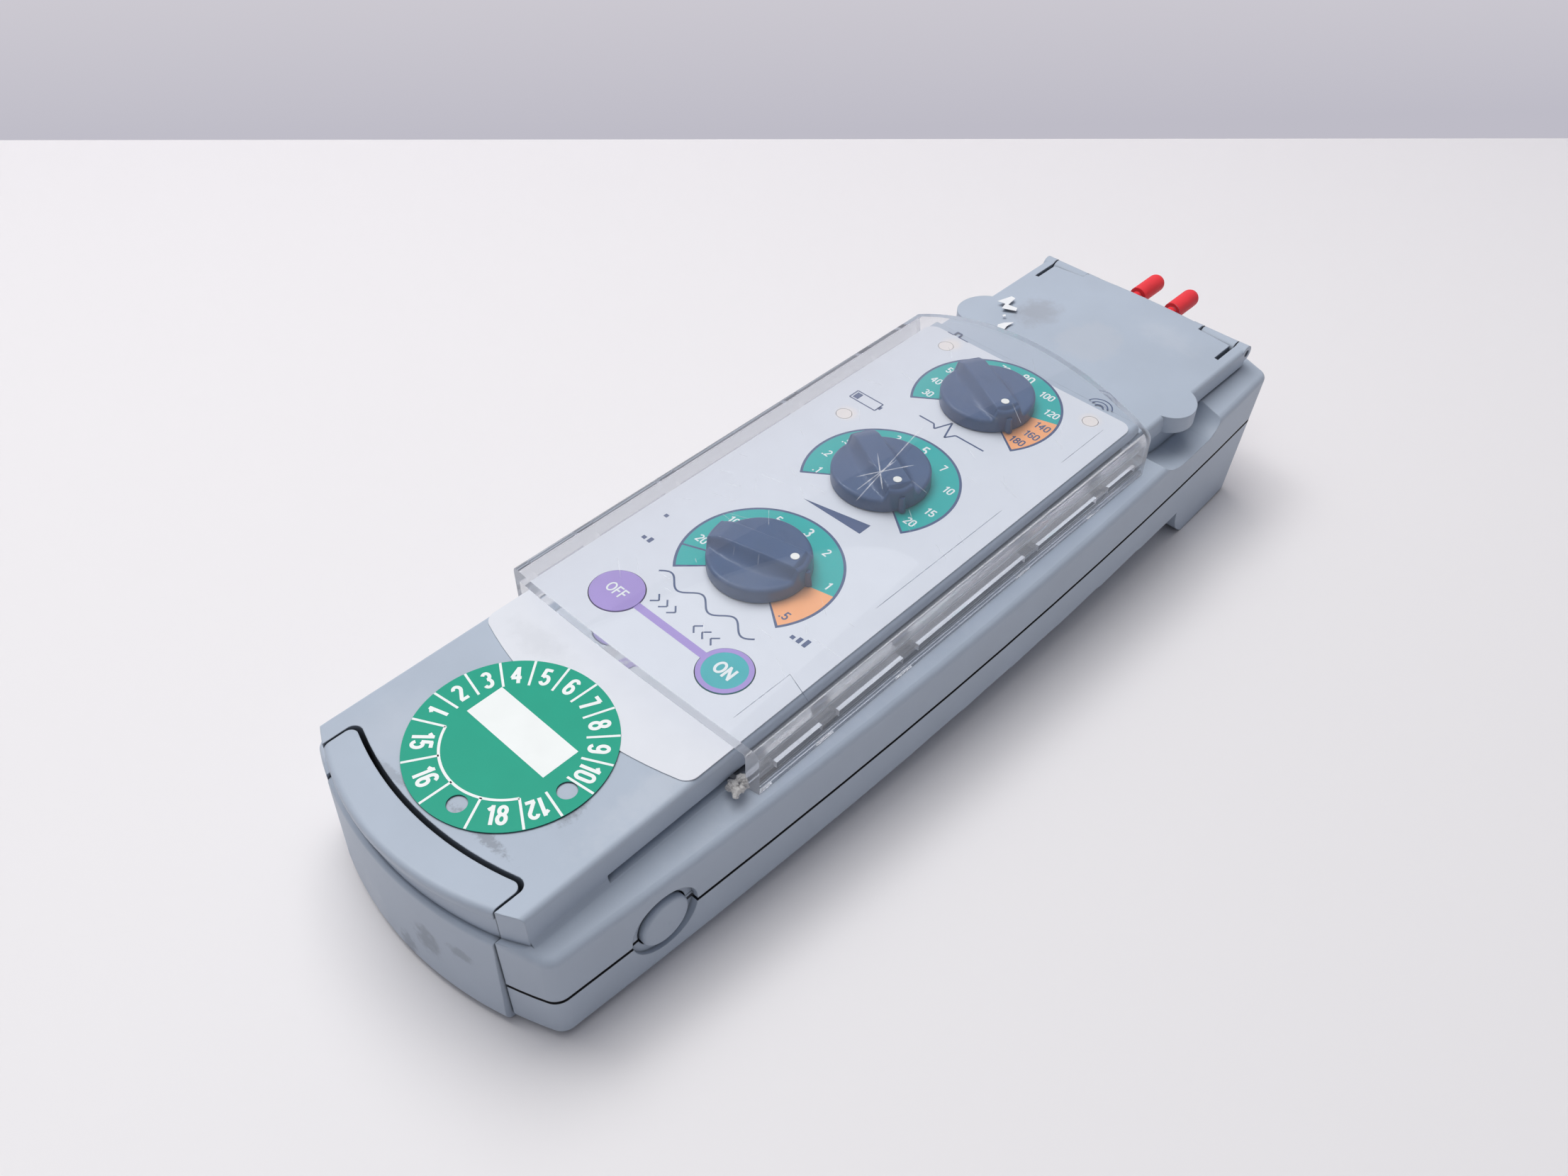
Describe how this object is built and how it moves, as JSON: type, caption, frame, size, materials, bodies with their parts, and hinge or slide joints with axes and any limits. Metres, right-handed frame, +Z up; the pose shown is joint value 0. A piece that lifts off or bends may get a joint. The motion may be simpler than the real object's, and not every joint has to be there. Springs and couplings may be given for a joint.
{
  "type": "external cardiac pacemaker",
  "caption": "Hand-held external heart pacing box on its back, with setting dials under a sliding clear cover, a battery drawer, a hinged flap and red contact pins.",
  "frame": {"origin": "middle of the footprint, on the plane of the heel under the connector end", "axes": "+Z up out of the control face, +Y along the case toward the connector end, +X toward the side with the drawer release button"},
  "size_m": [0.0664, 0.2165, 0.0447],
  "materials": {
    "case_plastic": "fine moulded texture, slight gloss",
    "battery_can": "printed steel can",
    "black_plastic": "moulded",
    "contact_metal": "plated spring metal",
    "spring_steel": "drawn wire",
    "clear_plastic": "clear moulded, scratched",
    "label_film": "satin printed film",
    "sticker_film": "printed film",
    "dial_plastic": "satin moulded",
    "shaft_brass": "turned",
    "on_key_plastic": "satin film over a key cap",
    "off_key_plastic": "satin film over a key cap",
    "lamp_lens": "diffusing lens",
    "board": "solder resist",
    "screw_steel": "zinc plated",
    "capacitor_can": "plain can",
    "block_plastic": "moulded",
    "red_plastic": "moulded sleeve"
  },
  "bodies": {
    "case": {"rear_case": "case_plastic", "front_case": "case_plastic", "contact_block": "black_plastic", "contact_springs": "contact_metal", "button_spring": "spring_steel", "face_label": "label_film", "inspection_sticker": "sticker_film", "rotary_switches": "black_plastic", "key_switches": "black_plastic", "indicator_lamps": "lamp_lens", "circuit_board": "board", "board_screws": "screw_steel", "board_components": "black_plastic", "output_capacitors": "capacitor_can", "case_screws": "screw_steel", "connector_block": "block_plastic", "left_contact_pin": "red_plastic", "right_contact_pin": "red_plastic", "hinge_pins": "spring_steel"},
    "drawer": {"battery_drawer": "case_plastic", "battery": "battery_can"},
    "release": {"release_button": "case_plastic"},
    "cover": {"clear_cover": "clear_plastic"},
    "rate": {"rate_dial": "dial_plastic", "rate_shaft": "shaft_brass"},
    "output": {"output_dial": "dial_plastic", "output_shaft": "shaft_brass"},
    "sense": {"sense_dial": "dial_plastic", "sense_shaft": "shaft_brass"},
    "on": {"on_key": "on_key_plastic"},
    "off": {"off_key": "off_key_plastic"},
    "flap": {"top_flap": "case_plastic"}
  },
  "joints": [
    {"name": "drawer_slide", "type": "slide", "parent": "case", "child": "drawer", "axis": [0, -1, 0], "range_m": [0, 0.048]},
    {"name": "release_press", "type": "slide", "parent": "case", "child": "release", "axis": [-1, 0, 0], "range_m": [0, 0.0018], "stiffness_N_per_m": 500, "springref_m": -0.002, "deforming": ["button_spring"]},
    {"name": "cover_slide", "type": "slide", "parent": "case", "child": "cover", "axis": [0, -1, 0], "range_m": [0, 0.025]},
    {"name": "rate_turn", "type": "hinge", "parent": "case", "child": "rate", "pos_m": [0, 0.0356, 0.038], "axis": [0, 0, -1], "range_deg": [-70, 180]},
    {"name": "output_turn", "type": "hinge", "parent": "case", "child": "output", "pos_m": [0, 0.0035, 0.038], "axis": [0, 0, -1], "range_deg": [-60, 190]},
    {"name": "sense_turn", "type": "hinge", "parent": "case", "child": "sense", "pos_m": [0, -0.0286, 0.038], "axis": [0, 0, -1], "range_deg": [-20, 230]},
    {"name": "on_press", "type": "slide", "parent": "case", "child": "on", "axis": [0, 0, -1], "range_m": [0, 0.0004], "stiffness_N_per_m": 2000, "springref_m": -0.0005},
    {"name": "off_press", "type": "slide", "parent": "case", "child": "off", "axis": [0, 0, -1], "range_m": [0, 0.0004], "stiffness_N_per_m": 2000, "springref_m": -0.0005},
    {"name": "flap_hinge", "type": "hinge", "parent": "case", "child": "flap", "pos_m": [0, 0.0934, 0.0321], "axis": [-1, 0, 0], "range_deg": [0, 75]}
  ]
}
